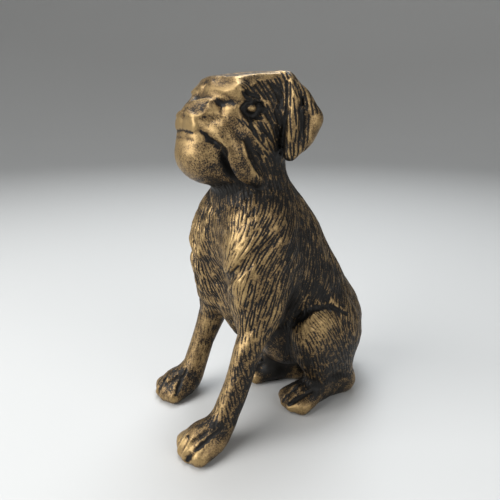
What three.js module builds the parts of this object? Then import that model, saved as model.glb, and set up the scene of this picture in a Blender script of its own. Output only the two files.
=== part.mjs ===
// A sitting dog cast in iron, as one solid that stands on its four feet.
// The figure faces -Y, its left side is +X and up is +Z. The form is built like clay: rounded masses
// melt into each other, creases and hollows are cut from them, and a closed skin of facets is laid
// over the result. The origin is on the ground, in the middle of the figure's outline from above.
import * as THREE from 'three';

// Driving dimensions in millimetres
const TOTAL_HEIGHT = 170;      // ground to the top of the skull
const PAW_SPREAD = 51;         // across, between the middles of the front paws
const PAW_WIDTH = 20;          // across the toes of a front paw
const FORELEG_WIDTH = 13.6;    // through the middle of a foreleg
const SHOULDER_WIDTH = 60;     // across both upper arms
const CHEST_WIDTH = 48;        // across the ribs
const HAUNCH_WIDTH = 66;       // across both thighs
const HIND_FOOT_SPREAD = 41;   // across, from the left hind foot to its mirror image
const HEAD_WIDTH = 42;         // across the cheeks
const EAR_THICKNESS = 7;       // through the flap of an ear
const LOCK_PITCH = 8;          // from one lock of the coat to the next
const LOCK_DEPTH = 1;          // how far the lines between the locks are cut in

// Fineness of the skin
const FACETS = 9400;           // triangles over the whole figure
const CELLS_IN_HEIGHT = 108;   // steps of the sampling lattice in the height of the figure
const CELLS_IN_BRICK = 6;      // the lattice is sampled or skipped by bricks of this many cells a side
const EVENNESS = 2e-6;         // how much the thinning prefers short edges to long ones

// The figure was laid out 170 mm tall. The places and radii of its masses are written at that height,
// from the point on the ground midway between the front paws, and UNIT takes them to the real height.
// share() does the opposite: it takes one of the real sizes above into the layout.
const LAYOUT_HEIGHT = 170;
const UNIT = TOTAL_HEIGHT / LAYOUT_HEIGHT;
const share = (size) => size / UNIT;

// How near two surfaces come before they melt together, from flesh to sharp carving
const SOFT = 9;
const FIRM = 5;
const CRISP = 2;
const SHARP = 1;

// A shape is a function that tells how far a point is from its surface, negative inside. Further away
// than FAR nothing melts, so a rough answer will do there.
const FAR = 16;
const { clamp, degToRad, smoothstep } = THREE.MathUtils;
const norm = (x, y, z) => Math.sqrt(x * x + y * y + z * z);

// An egg with its middle, its three half lengths and a turn about the X axis in degrees
function egg([cx, cy, cz], [rx, ry, rz], pitch = 0) {
  const reach = Math.max(rx, ry, rz);
  const cos = Math.cos(degToRad(pitch));
  const sin = Math.sin(degToRad(pitch));
  return (x, y, z) => {
    const dx = x - cx;
    const dy = (y - cy) * cos + (z - cz) * sin;
    const dz = (z - cz) * cos - (y - cy) * sin;
    const rough = norm(dx, dy, dz) - reach;
    if (rough > FAR) return rough;
    const level = norm(dx / rx, dy / ry, dz / rz);
    const slope = norm(dx / (rx * rx), dy / (ry * ry), dz / (rz * rz));
    return slope < 1e-9 ? -Math.min(rx, ry, rz) : level * (level - 1) / slope;
  };
}

// A block with rounded edges, its middle, its half lengths and a turn about the X axis in degrees
function block([cx, cy, cz], half, rounding, pitch = 0) {
  const [hx, hy, hz] = half.map((value) => value - rounding);
  const cos = Math.cos(degToRad(pitch));
  const sin = Math.sin(degToRad(pitch));
  return (x, y, z) => {
    const dx = Math.abs(x - cx) - hx;
    const dy = Math.abs((y - cy) * cos + (z - cz) * sin) - hy;
    const dz = Math.abs((z - cz) * cos - (y - cy) * sin) - hz;
    const outside = norm(Math.max(dx, 0), Math.max(dy, 0), Math.max(dz, 0));
    return outside + Math.min(Math.max(dx, dy, dz), 0) - rounding;
  };
}

// A limb that swells and narrows along a smooth line through stations of [x, y, z, radius]
function limb(stations) {
  const line = new THREE.CatmullRomCurve3(stations.map(([x, y, z]) => new THREE.Vector3(x, y, z)));
  const girth = new THREE.CatmullRomCurve3(stations.map(([, , , r]) => new THREE.Vector3(r, 0, 0)));
  const steps = stations.length > 2 ? (stations.length - 1) * 3 : 1;
  const rings = Array.from({ length: steps + 1 }, (_, i) => {
    const { x, y, z } = line.getPoint(i / steps);
    return [x, y, z, girth.getPoint(i / steps).x];
  });
  const middle = line.getPoint(0.5);
  const reaches = rings.map(([x, y, z, r]) => norm(x - middle.x, y - middle.y, z - middle.z) + r);
  const reach = Math.max(...reaches);
  return (x, y, z) => {
    const rough = norm(x - middle.x, y - middle.y, z - middle.z) - reach;
    if (rough > FAR) return rough;
    let nearest = Infinity;
    for (let i = 0; i < steps; i++) {
      const [ax, ay, az, ar] = rings[i];
      const [bx, by, bz, br] = rings[i + 1];
      const [ux, uy, uz] = [bx - ax, by - ay, bz - az];
      const [px, py, pz] = [x - ax, y - ay, z - az];
      const along = clamp((px * ux + py * uy + pz * uz) / (ux * ux + uy * uy + uz * uz), 0, 1);
      const gap = norm(px - ux * along, py - uy * along, pz - uz * along);
      nearest = Math.min(nearest, gap - ar - (br - ar) * along);
    }
    return nearest;
  };
}

// A shape laid out on the figure's left, put on both its sides or on one
const pair = (shape) => (x, y, z) => shape(Math.abs(x), y, z);
const onLeft = (shape) => shape;
const onRight = (shape) => (x, y, z) => shape(-x, y, z);

// Clay holds masses and cuts in the order they were made
class Clay {
  constructor() {
    this.steps = [];
  }

  add(shape, melt) {
    this.steps.push({ shape, melt, cut: false });
  }

  cut(shape, melt) {
    this.steps.push({ shape, melt, cut: true });
  }

  at(x, y, z) {
    let level = Infinity;
    for (const { shape, melt, cut } of this.steps) {
      const other = cut ? -shape(x, y, z) : shape(x, y, z);
      const overlap = Math.max(melt - Math.abs(level - other), 0);
      const blend = overlap * overlap / (4 * melt);
      level = cut ? Math.max(level, other) + blend : Math.min(level, other) - blend;
    }
    return level;
  }
}

// Torso: neck, ribs, loin, rump and a docked tail, along a back that slopes from nape to ground
function addTorso(clay) {
  const rib = share(CHEST_WIDTH) / 2;
  clay.add(egg([0, 50.6, 83], [rib, 28, 34], 25), SOFT);
  clay.add(egg([0, 66, 59], [rib, 28, 31], 35), SOFT);
  clay.add(egg([0, 83.5, 37], [rib, 25, 27]), SOFT);
  clay.add(limb([[0, 35, 134, 17], [0, 35.5, 120, 18.5], [0, 40, 104, 21]]), SOFT);
  clay.add(egg([0, 33, 92], [rib - 3, 16, 22], 6), SOFT);
  clay.add(egg([0, 34, 57], [15, 13, 21], 8), SOFT);
  clay.add(egg([0, 62, 30], [16, 16, 14], 30), SOFT);
  clay.add(limb([[0, 104, 32, 5], [0, 109, 22, 4]]), FIRM);
}

// Shoulder and upper arm, on each side of the breast
function addShoulders(clay) {
  const arm = share(SHOULDER_WIDTH) / 2;
  clay.add(pair(egg([arm - 14, 31, 98], [12, 15.5, 17])), SOFT);
  clay.add(pair(egg([arm - 12, 31, 82], [12, 18.5, 22], 6)), SOFT);
  clay.add(pair(egg([arm - 12, 29, 65], [12, 13, 17], -8)), SOFT);
}

// Four toes side by side and the slits between them. spot(sideways, ahead, z, radius) gives a station
// in the foot's own directions, from the middle of the toes.
function addToes(clay, place, spot, spacing, radius) {
  for (const step of [-1.5, -0.5, 0.5, 1.5]) {
    const tip = Math.abs(step) > 1 ? 5.5 : 8;
    const root = spot(step * spacing * 0.8, -3, 6, radius);
    clay.add(place(limb([root, spot(step * spacing, tip, 3.8, radius)])), CRISP);
  }
  for (const step of [-1, 0, 1]) {
    const slit = [
      spot(step * spacing, 13, 2, 1.3),
      spot(step * spacing, 9.5, 8.5, 1.3),
      spot(step * spacing * 0.9, 0, 13, 0.8),
    ];
    clay.cut(place(limb(slit)), SHARP);
  }
}

// Foreleg from the elbow down, and its paw. The paw stands this far back of the layout's middle, the
// leg leans back from it, and the forearm is thicker than the leg by the upper amount.
function addForeleg(clay, place, { back, lean, upper }) {
  const elbow = share(SHOULDER_WIDTH) / 2 - 8;
  const paw = share(PAW_SPREAD) / 2;
  const radius = share(FORELEG_WIDTH) / 2;
  const toe = share(PAW_WIDTH) / 8;
  const bone = limb([
    [elbow - 1, 29, 61, radius + 3],
    [(elbow + paw) / 2, back + 6.5 + lean * 46, 46, radius + upper],
    [paw, back + 6 + lean * 30, 30, radius - 0.6],
    [paw, back + 5 + lean * 14, 14, radius - 0.4],
  ]);
  clay.add(place(bone), FIRM);
  clay.add(place(egg([paw, back + 1, 7], [toe * 3.6, 12, 8])), FIRM);
  const spot = (sideways, ahead, z, r) => [paw + sideways, back - 1 - ahead, z, r];
  addToes(clay, place, spot, toe * 1.9, toe * 1.75);
}

// Thigh, knee, shank and hind foot. The foot lies along the line from the toes to the heel.
function addHindLeg(clay, place, [toeX, toeY], [heelX, heelY]) {
  const thigh = share(HAUNCH_WIDTH) / 2;
  const [midX, midY] = [(toeX + heelX) / 2, (toeY + heelY) / 2];
  const shank = [[thigh - 9, 58, 40, 8], [midX + 2, midY - 5, 21, 7], [midX, midY - 5, 8, 6]];
  const hock = [[thigh - 10, 66, 38, 9], [heelX + 1, heelY - 5, 20, 8], [heelX, heelY, 8, 7]];
  const foot = [[heelX, heelY, 6, 6.8], [midX, midY, 6.5, 7], [toeX, toeY, 5.5, 7.6]];
  clay.add(place(egg([thigh - 12, 72, 36], [12, 22, 22], 20)), FIRM);
  clay.add(place(egg([thigh - 10, 60, 45], [10, 13, 12], 30)), CRISP);
  for (const stations of [shank, hock, foot]) clay.add(place(limb(stations)), FIRM);
  const ahead = new THREE.Vector2(toeX - heelX, toeY - heelY).normalize();
  const spot = (sideways, forward, z, r) => [
    toeX - ahead.y * sideways + ahead.x * forward,
    toeY + ahead.x * sideways + ahead.y * forward,
    z,
    r,
  ];
  addToes(clay, place, spot, 4.6, 4.2);
}

// Creases that part the breast from the shoulders, the upper arms from the ribs and the thighs from
// the flanks
function cutCreases(clay) {
  const arm = share(SHOULDER_WIDTH) / 2;
  const thigh = share(HAUNCH_WIDTH) / 2;
  const creases = [
    [[arm, 26, 98, 1], [arm - 3, 18.5, 90, 1.8], [arm - 7, 14, 84, 2], [arm - 17, 14, 76, 1.6],
      [4, 17, 67, 1]],
    [[arm - 3, 52, 88, 1], [arm, 47, 73, 2], [arm - 2, 43, 59, 2.4], [arm - 7, 39, 49, 1.5]],
    [[thigh - 10, 44, 46, 1], [thigh - 5, 51, 57, 2.6], [thigh - 4, 61, 60, 3], [thigh - 3, 76, 57, 1.4]],
  ];
  for (const crease of creases) clay.cut(pair(limb(crease)), CRISP);
}

// Head: skull, cheeks, nape, short muzzle, heavy jaw, hanging lips, brows and nose
function addHead(clay) {
  const cheek = share(HEAD_WIDTH) / 2;
  const lips = [[6, 8, 146, 5.5], [12, 13, 143, 6.5], [15.2, 17, 135.5, 7], [15.4, 21.5, 129, 6.8],
    [16, 27.5, 124.5, 5]];
  const brow = [[3, 14.6, 161.5, 2.8], [11, 16.4, 161.5, 2.8], [17, 19, 161, 2.8]];
  const underBrow = [[0, 8, 159.6, 1.6], [9, 10, 158.4, 2], [18, 15, 156.5, 1.8]];
  clay.add(block([0, 32, 153], [cheek - 2, 18, 15], 6, 8), FIRM);
  clay.add(pair(egg([cheek - 10, 31, 142], [10, 15, 15])), FIRM);
  clay.add(egg([0, 39, 140], [17, 13, 15]), FIRM);
  clay.add(block([0, 13.5, 147], [12, 11.5, 10], 6.5), FIRM);
  clay.add(egg([0, 11, 134], [14.6, 12.6, 12.2]), FIRM);
  clay.add(egg([0, 23, 128], [15, 17, 9]), FIRM);
  clay.add(pair(limb(lips)), CRISP);
  clay.add(pair(limb(brow)), CRISP);
  clay.cut(pair(limb(underBrow)), CRISP);
  clay.add(block([0, 10.6, 153.2], [10.2, 5.8, 3.8], 2.4, 18), SHARP);
}

// Ear: a folded flap that hangs from the top of the skull, with a ridge down its front edge
function addEars(clay) {
  const cheek = share(HEAD_WIDTH) / 2;
  const half = share(EAR_THICKNESS) / 2;
  const top = [cheek - 3, 44, 165];
  const rear = [cheek + 3, 53, 149];
  const low = [cheek + 3, 41.5, 134.5];
  const fold = [[...rear, half + 1.5], [cheek + 3, 49, 141.6, half + 1.2], [...low, half - 0.5]];
  const ridge = [[...top, half - 0.5], [cheek + 4, 42, 150, half - 0.5], [...low, half - 0.5]];
  const behindRidge = [[cheek + 2, 46, 160, 0.8], [cheek + 7, 45.5, 151, 1.4], [cheek + 7, 44.5, 138, 0.8]];
  const beforeEar = [[cheek - 1, 40, 165, 1.2], [cheek + 2, 37.5, 152, 1.6], [cheek + 1, 37, 136, 1.2]];
  clay.add(pair(limb([[...top, half], [...rear, half + 1.5]])), FIRM);
  clay.add(pair(limb(fold)), CRISP);
  clay.add(pair(limb(ridge)), CRISP);
  clay.add(pair(egg([cheek + 2, 47, 150], [half, 7, 12])), FIRM);
  for (const groove of [behindRidge, beforeEar]) clay.cut(pair(limb(groove)), CRISP);
}

// Face: eyes in their sockets, the line of the mouth, the groove between jaw and lips, and the
// hollow behind the hanging lips
function cutFace(clay) {
  const cheek = share(HEAD_WIDTH) / 2;
  const mouthFront = [[0, 0.8, 144.9, 1.1], [6, 1, 144.4, 1.2], [9, 2.4, 143.8, 1]];
  const mouthSide = [[11, 4, 144.3, 1.1], [13.8, 6.2, 141.3, 2], [16.6, 10.8, 137.3, 2.2]];
  const underNose = [[0, 1.8, 150.6, 1], [8, 2.4, 150.4, 1.1], [12.6, 8, 149.4, 1.3], [13, 13, 150, 0.9]];
  const jawGroove = [[16.4, 11.6, 136, 2.4], [15.4, 14.8, 131, 3], [15, 17.6, 127, 3],
    [14.8, 21.6, 122.8, 2.4]];
  const underLip = [[cheek, 22.5, 140, 1.5], [cheek + 1.6, 25.8, 134.5, 3.4], [cheek + 1.4, 28.5, 129.5, 3],
    [cheek, 31, 126, 1.6]];
  clay.cut(pair(egg([cheek - 1.2, 25, 153], [3, 5.4, 4])), CRISP);
  clay.add(pair(egg([cheek - 4.8, 24.6, 153.8], [3.2, 2.9, 2.6])), SHARP);
  for (const line of [mouthFront, mouthSide, underNose]) clay.cut(pair(limb(line)), SHARP);
  for (const line of [jawGroove, underLip]) clay.cut(pair(limb(line)), CRISP);
}

// The coat in broad locks, as the depth cut away at a point. They run down the flanks along the back,
// and slant over the shoulders to the breast. Legs, neck and head stay smooth.
function coat(x, y, z) {
  const covered = smoothstep(z, 34, 48) * (1 - smoothstep(z, 108, 120));
  if (covered === 0) return 0;
  const rear = smoothstep(y, 40, 54);
  const lock = (across) => Math.abs(Math.sin(Math.PI * across / share(LOCK_PITCH)));
  const flank = lock(0.87 * y + 0.5 * z);
  const shoulder = lock(0.62 * y - 0.78 * z + 0.3 * Math.abs(x));
  const height = Math.sqrt(flank * rear + shoulder * (1 - rear));
  return share(LOCK_DEPTH) * covered * (1 - height);
}

// The whole figure, cut flat where the feet stand on the ground
function makeDog() {
  const clay = new Clay();
  const hind = share(HIND_FOOT_SPREAD) / 2;
  addTorso(clay);
  addShoulders(clay);
  addHindLeg(clay, onLeft, [hind, 56], [hind, 84]);
  addHindLeg(clay, onRight, [hind - 7, 55.5], [hind - 16, 71]);
  addForeleg(clay, onLeft, { back: -5.6, lean: 0.41, upper: 0 });
  addForeleg(clay, onRight, { back: 5.6, lean: 0.33, upper: 1.4 });
  cutCreases(clay);
  addHead(clay);
  addEars(clay);
  cutFace(clay);
  return (x, y, z) => Math.max(clay.at(x, y, z) + coat(x, y, z), -z);
}

// The six tetrahedra that fill a lattice cell, by corner number. A corner's number has a bit for each
// axis, and each tetrahedron holds the long diagonal from corner 0 to corner 7.
const TETRAHEDRA = [[0, 1, 3, 7], [0, 5, 1, 7], [0, 3, 2, 7], [0, 2, 6, 7], [0, 4, 5, 7], [0, 6, 4, 7]];

// The shape's levels on a lattice of points over a box
class Lattice {
  constructor(shape, box, cell) {
    this.box = box;
    this.cell = cell;
    this.counts = box.getSize(new THREE.Vector3()).toArray().map((side) => Math.ceil(side / cell) + 1);
    const [nx, ny] = this.counts;
    this.corners = Array.from({ length: 8 }, (_, n) => (n & 1) + ((n >> 1) & 1) * nx + (n >> 2) * nx * ny);
    this.levels = new Float64Array(this.counts.reduce((product, count) => product * count));
    this.eachFrom([0, 0, 0], this.counts, CELLS_IN_BRICK, (...start) => this.sampleBrick(shape, start));
  }

  index(i, j, k) {
    return i + this.counts[0] * (j + this.counts[1] * k);
  }

  place(i, j, k) {
    const { min } = this.box;
    return [min.x + i * this.cell, min.y + j * this.cell, min.z + k * this.cell];
  }

  pointOf(index) {
    const [nx, ny] = this.counts;
    return this.place(index % nx, Math.floor(index / nx) % ny, Math.floor(index / (nx * ny)));
  }

  eachFrom(start, end, step, visit) {
    for (let k = start[2]; k < end[2]; k += step) {
      for (let j = start[1]; j < end[1]; j += step) {
        for (let i = start[0]; i < end[0]; i += step) visit(i, j, k);
      }
    }
  }

  // A brick whose middle is deep inside or well outside holds no surface, so it isn't sampled
  sampleBrick(shape, start) {
    const level = shape(...this.place(...start.map((n) => n + CELLS_IN_BRICK / 2)));
    const near = Math.abs(level) < CELLS_IN_BRICK * this.cell * 1.15;
    const end = start.map((n, axis) => Math.min(n + CELLS_IN_BRICK, this.counts[axis]));
    this.eachFrom(start, end, 1, (i, j, k) => {
      this.levels[this.index(i, j, k)] = near ? shape(...this.place(i, j, k)) : level;
    });
  }
}

// Lays a closed skin of triangles where the level changes sign
function skinOf(lattice) {
  const points = [];
  const faces = [];
  const known = new Map();
  const { levels, corners } = lattice;
  const crossing = (base, from, to) => {
    const [low, high] = from < to ? [from, to] : [to, from];
    const [a, b] = [base + corners[low], base + corners[high]];
    const key = a * corners.length + high - low;
    if (!known.has(key)) {
      const t = clamp(levels[a] / (levels[a] - levels[b]), 0.04, 0.96);
      const [p, q] = [lattice.pointOf(a), lattice.pointOf(b)];
      known.set(key, points.length);
      points.push(p.map((value, axis) => value + (q[axis] - value) * t));
    }
    return known.get(key);
  };
  lattice.eachFrom([0, 0, 0], lattice.counts.map((count) => count - 1), 1, (i, j, k) => {
    const base = lattice.index(i, j, k);
    const isSolid = corners.map((offset) => levels[base + offset] < 0);
    if (isSolid.every((solid) => solid === isSolid[0])) return;
    for (const tetrahedron of TETRAHEDRA) {
      const solid = tetrahedron.filter((n) => isSolid[n]);
      if (solid.length === 0 || solid.length === 4) continue;
      const order = [...solid, ...tetrahedron.filter((n) => !isSolid[n])];
      const [a, b, c, d] = order;
      const cut = (from, to) => crossing(base, from, to);
      let ring = [cut(a, d), cut(b, d), cut(c, d)];
      if (solid.length === 1) ring = [cut(a, b), cut(a, c), cut(a, d)];
      if (solid.length === 2) ring = [cut(a, c), cut(a, d), cut(b, d), cut(b, c)];
      const ranks = order.map((n) => tetrahedron.indexOf(n));
      const swaps = ranks.flatMap((rank, m) => ranks.slice(m + 1).filter((other) => other < rank));
      if (swaps.length % 2 === 1) ring.reverse();
      for (let n = 2; n < ring.length; n++) faces.push([ring[0], ring[n - 1], ring[n]]);
    }
  });
  return { points, faces };
}

// The shell with the most faces, without the bubbles that masses may leave between them
function outerShell({ points, faces }) {
  const leader = points.map((_, n) => n);
  const find = (n) => {
    let root = n;
    while (leader[root] !== root) root = leader[root];
    leader[n] = root;
    return root;
  };
  for (const [a, b, c] of faces) {
    leader[find(b)] = find(a);
    leader[find(c)] = find(a);
  }
  const counts = new Map();
  for (const [a] of faces) counts.set(find(a), (counts.get(find(a)) ?? 0) + 1);
  const [largest] = [...counts].reduce((best, entry) => (entry[1] > best[1] ? entry : best));
  return { points, faces: faces.filter(([a]) => find(a) === largest) };
}

const minus = (a, b) => [a[0] - b[0], a[1] - b[1], a[2] - b[2]];
const cross = (a, b) => [a[1] * b[2] - a[2] * b[1], a[2] * b[0] - a[0] * b[2], a[0] * b[1] - a[1] * b[0]];
const dot = (a, b) => a[0] * b[0] + a[1] * b[1] + a[2] * b[2];
const length = ([x, y, z]) => norm(x, y, z);
const onSole = ([, , z]) => Math.abs(z) < 1e-6;

// The squared distance to a plane, as the ten numbers of a symmetric 4 x 4 matrix
function planeError([nx, ny, nz], offset, weight) {
  const row = [nx, ny, nz, offset];
  return row.flatMap((first, i) => row.slice(i).map((second) => first * second * weight));
}

function errorAt(q, [x, y, z]) {
  return q[0] * x * x + 2 * q[1] * x * y + 2 * q[2] * x * z + 2 * q[3] * x + q[4] * y * y
    + 2 * q[5] * y * z + 2 * q[6] * y + q[7] * z * z + 2 * q[8] * z + q[9];
}

// The point with the least error, or null where the error is the same along a line or a plane
function lowestPoint(q) {
  const matrix = new THREE.Matrix3(q[0], q[1], q[2], q[1], q[4], q[5], q[2], q[5], q[7]);
  const size = (q[0] + q[4] + q[7]) / 3;
  if (Math.abs(matrix.determinant()) < 1e-4 * size ** 3) return null;
  return new THREE.Vector3(-q[3], -q[6], -q[8]).applyMatrix3(matrix.invert()).toArray();
}

// A queue that gives back the cheapest of its entries first
class Queue {
  constructor() {
    this.heap = [];
  }

  push(entry) {
    const { heap } = this;
    let n = heap.length;
    while (n > 0) {
      const parent = (n - 1) >> 1;
      if (heap[parent].cost <= entry.cost) break;
      heap[n] = heap[parent];
      n = parent;
    }
    heap[n] = entry;
  }

  pop() {
    const { heap } = this;
    const first = heap[0];
    const last = heap.pop();
    if (heap.length === 0) return first;
    let n = 0;
    for (let child = 1; child < heap.length; child = 2 * n + 1) {
      if (child + 1 < heap.length && heap[child + 1].cost < heap[child].cost) child++;
      if (heap[child].cost >= last.cost) break;
      heap[n] = heap[child];
      n = child;
    }
    heap[n] = last;
    return first;
  }
}

// Thins a skin to a number of facets by closing the edge whose loss shows least, time and again
class Thinning {
  constructor({ points, faces }, care) {
    this.points = points;
    this.faces = faces;
    this.around = points.map(() => []);
    this.errors = points.map(() => new Float64Array(10));
    this.version = new Uint32Array(points.length);
    this.count = faces.length;
    faces.forEach((face, index) => {
      const [a, b, c] = face.map((n) => points[n]);
      const normal = cross(minus(b, a), minus(c, a));
      const area = Math.max(length(normal), 1e-12);
      const unit = normal.map((value) => value / area);
      const error = planeError(unit, -dot(unit, a), area * care(a));
      for (const n of face) {
        this.around[n].push(index);
        for (let m = 0; m < error.length; m++) this.errors[n][m] += error[m];
      }
    });
  }

  ring(n) {
    const seen = [];
    for (const f of this.around[n]) {
      for (const m of this.faces[f]) if (m !== n && !seen.includes(m)) seen.push(m);
    }
    return seen;
  }

  // The best place for the point that an edge closes to. A sole's edge stays on the ground.
  plan(a, b) {
    const error = this.errors[a].map((value, m) => value + this.errors[b][m]);
    const [p, q] = [this.points[a], this.points[b]];
    const span = length(minus(p, q));
    const middle = p.map((value, axis) => (value + q[axis]) / 2);
    let choices = [middle, p, q];
    if (onSole(p) !== onSole(q)) choices = [onSole(p) ? p : q];
    else if (!onSole(p)) {
      const best = lowestPoint(error);
      if (best && length(minus(best, middle)) < span) choices = [best];
    }
    const costs = choices.map((choice) => Math.max(errorAt(error, choice), 0) + span ** 4 * EVENNESS);
    const cost = Math.min(...costs);
    const stamp = this.version[a] + this.version[b];
    return { a, b, error, cost, spot: choices[costs.indexOf(cost)], stamp };
  }

  // Whether the faces round a point neither turn over nor become slivers when it moves
  keepsShape(n, other, spot) {
    return this.around[n].every((f) => {
      const face = this.faces[f];
      if (face.includes(other)) return true;
      const [p, q, r] = face.map((m) => this.points[m]);
      const [u, v, w] = face.map((m) => (m === n ? spot : this.points[m]));
      const old = cross(minus(q, p), minus(r, p));
      const fresh = cross(minus(v, u), minus(w, u));
      const longest = Math.max(length(minus(u, v)), length(minus(v, w)), length(minus(w, u)));
      const turned = dot(old, fresh) < 0.2 * length(old) * length(fresh);
      return !turned && length(fresh) > 0.02 * longest * longest;
    });
  }

  // An edge may close if only its own two faces join its ends, so that the skin stays one closed sheet
  mayClose({ a, b, spot }) {
    const ringB = this.ring(b);
    const shared = this.ring(a).filter((m) => ringB.includes(m));
    return shared.length === 2 && shared.every((m) => this.around[m].length > 3)
      && this.keepsShape(a, b, spot) && this.keepsShape(b, a, spot);
  }

  close({ a, b, error, spot }) {
    const { faces, around } = this;
    this.points[a] = spot;
    this.errors[a] = error;
    for (const f of around[b]) {
      if (faces[f].includes(a)) {
        for (const m of faces[f]) if (m !== b) around[m] = around[m].filter((g) => g !== f);
        faces[f] = null;
        this.count--;
      } else {
        faces[f] = faces[f].map((m) => (m === b ? a : m));
        around[a].push(f);
      }
    }
    around[b] = [];
    this.version[a]++;
    this.version[b]++;
  }

  // The corners of the facets that are left, three for each
  thinTo(target) {
    const queue = new Queue();
    this.points.forEach((_, a) => {
      for (const b of this.ring(a)) if (a < b) queue.push(this.plan(a, b));
    });
    while (this.count > target && queue.heap.length > 0) {
      const plan = queue.pop();
      const { a, b, stamp } = plan;
      const gone = this.around[a].length === 0 || this.around[b].length === 0;
      if (gone || stamp !== this.version[a] + this.version[b] || !this.mayClose(plan)) continue;
      this.close(plan);
      for (const m of this.ring(a)) queue.push(this.plan(a, m));
    }
    return this.faces.filter(Boolean).flat().flatMap((n) => this.points[n]);
  }
}

// The room that the figure needs in the layout, from the middle of the front paws
const MARGIN = 4;
const ROOM_AHEAD = 24;
const ROOM_BEHIND = 122;
const ROOM_ABOVE = 174;

// The casting's skin at its real size. The head and the feet keep more facets than the body.
function castingGeometry() {
  const cell = LAYOUT_HEIGHT / CELLS_IN_HEIGHT;
  const stance = share(PAW_SPREAD) / 2 + share(PAW_WIDTH) / 2;
  const body = Math.max(share(HAUNCH_WIDTH), share(SHOULDER_WIDTH), share(CHEST_WIDTH)) / 2;
  const head = share(HEAD_WIDTH) / 2 + 2 * share(EAR_THICKNESS);
  const across = Math.max(stance, body, head) + MARGIN;
  const low = new THREE.Vector3(-across, -ROOM_AHEAD, -cell / 2);
  const high = new THREE.Vector3(across, ROOM_BEHIND, ROOM_ABOVE);
  const care = ([, , z]) => (z > 118 ? 5 : z < 16 ? 2.5 : 1);
  const skin = outerShell(skinOf(new Lattice(makeDog(), new THREE.Box3(low, high), cell)));
  const corners = new Thinning(skin, care).thinTo(FACETS);
  const geometry = new THREE.BufferGeometry();
  geometry.setAttribute('position', new THREE.Float32BufferAttribute(corners, 3));
  geometry.scale(UNIT, UNIT, UNIT);
  geometry.computeBoundingBox();
  const middle = geometry.boundingBox.getCenter(new THREE.Vector3());
  geometry.translate(-middle.x, -middle.y, 0);
  geometry.computeVertexNormals();
  return geometry;
}

// Cast iron under a rubbed coat of old gold paint
const oldGold = new THREE.MeshStandardMaterial({ color: 0x8a6a34, roughness: 0.42, metalness: 0.75 });

const casting = new THREE.Mesh(castingGeometry(), oldGold);
casting.name = 'dog_casting';

const dog = new THREE.Group();
dog.name = 'cast_iron_dog';
dog.add(casting);

export default dog;
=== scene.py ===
"""The dressed look of the sitting cast iron dog: its carved coat and face, and its rubbed gold paint.

The carving starts from the CAD casting's own mesh. Places on the figure are written in layout
millimetres: the origin is on the ground midway between the front paws, the dog faces -Y and its left
side is +X.
"""
import logging
import math
import random
from dataclasses import dataclass, field
from enum import Enum

import bpy
import numpy as np
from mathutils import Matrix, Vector
from mathutils.bvhtree import BVHTree
from mathutils.kdtree import KDTree
from mathutils.noise import noise, turbulence


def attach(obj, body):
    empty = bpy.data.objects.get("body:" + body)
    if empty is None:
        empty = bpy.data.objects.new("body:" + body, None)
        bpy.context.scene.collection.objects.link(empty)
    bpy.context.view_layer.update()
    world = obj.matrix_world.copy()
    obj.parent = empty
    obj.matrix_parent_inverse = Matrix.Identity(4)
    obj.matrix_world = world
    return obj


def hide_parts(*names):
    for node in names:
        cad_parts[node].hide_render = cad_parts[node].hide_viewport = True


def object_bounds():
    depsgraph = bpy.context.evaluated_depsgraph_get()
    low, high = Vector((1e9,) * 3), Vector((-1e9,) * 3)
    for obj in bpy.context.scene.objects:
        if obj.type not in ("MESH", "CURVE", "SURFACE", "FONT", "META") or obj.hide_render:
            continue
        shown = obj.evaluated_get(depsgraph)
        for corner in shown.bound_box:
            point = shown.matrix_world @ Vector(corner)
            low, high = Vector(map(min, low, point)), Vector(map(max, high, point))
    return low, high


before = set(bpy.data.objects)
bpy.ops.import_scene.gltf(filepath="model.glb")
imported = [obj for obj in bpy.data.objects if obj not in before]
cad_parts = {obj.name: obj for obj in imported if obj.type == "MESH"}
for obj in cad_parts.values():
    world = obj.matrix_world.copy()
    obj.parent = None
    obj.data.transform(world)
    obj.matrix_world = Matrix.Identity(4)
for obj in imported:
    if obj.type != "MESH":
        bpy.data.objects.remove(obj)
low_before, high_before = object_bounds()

LOG = logging.getLogger("dog")
Station = tuple[float, float, float, float]
Place = tuple[float, float, float]

CASTING = "dog_casting"
LAYOUT_SHIFT = np.array([0.05, 47.09, 0.0])
MM = 0.001


class Side(Enum):
    """Which side of the figure a mark is on."""

    BOTH = "both"
    LEFT = "left"
    RIGHT = "right"


class Profile(Enum):
    """How a mark falls off from its middle to its edge."""

    ROUND = "round"
    VEE = "vee"


@dataclass(frozen=True)
class Mark:
    """A line along which the skin is cut in or raised, with the paint that goes with it."""

    stations: tuple[Station, ...]
    depth: float
    black: float = 0.0
    rub: float = 0.0
    profile: Profile = Profile.ROUND
    side: Side = Side.BOTH


@dataclass(frozen=True)
class Facet:
    """A flat that is planed on the skin within reach of its middle, with low places near it filled."""

    middle: Place
    normal: Place
    reach: Place
    fill: float = 0.0
    side: Side = Side.BOTH


@dataclass(frozen=True)
class Zone:
    """A rounded zone of the figure, given by its middle and half lengths, and how much is done there."""

    middle: Place
    reach: Place
    amount: float
    side: Side = Side.BOTH


@dataclass(frozen=True)
class HairStyle:
    """How the hair is cut in one part of the coat, in millimetres."""

    spacing: float
    shortest: float
    longest: float
    half_width: float
    depth: float


@dataclass(frozen=True)
class Guide:
    """A line that the hair follows near it."""

    style: HairStyle
    points: tuple[Place, ...]
    side: Side = Side.BOTH


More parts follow.
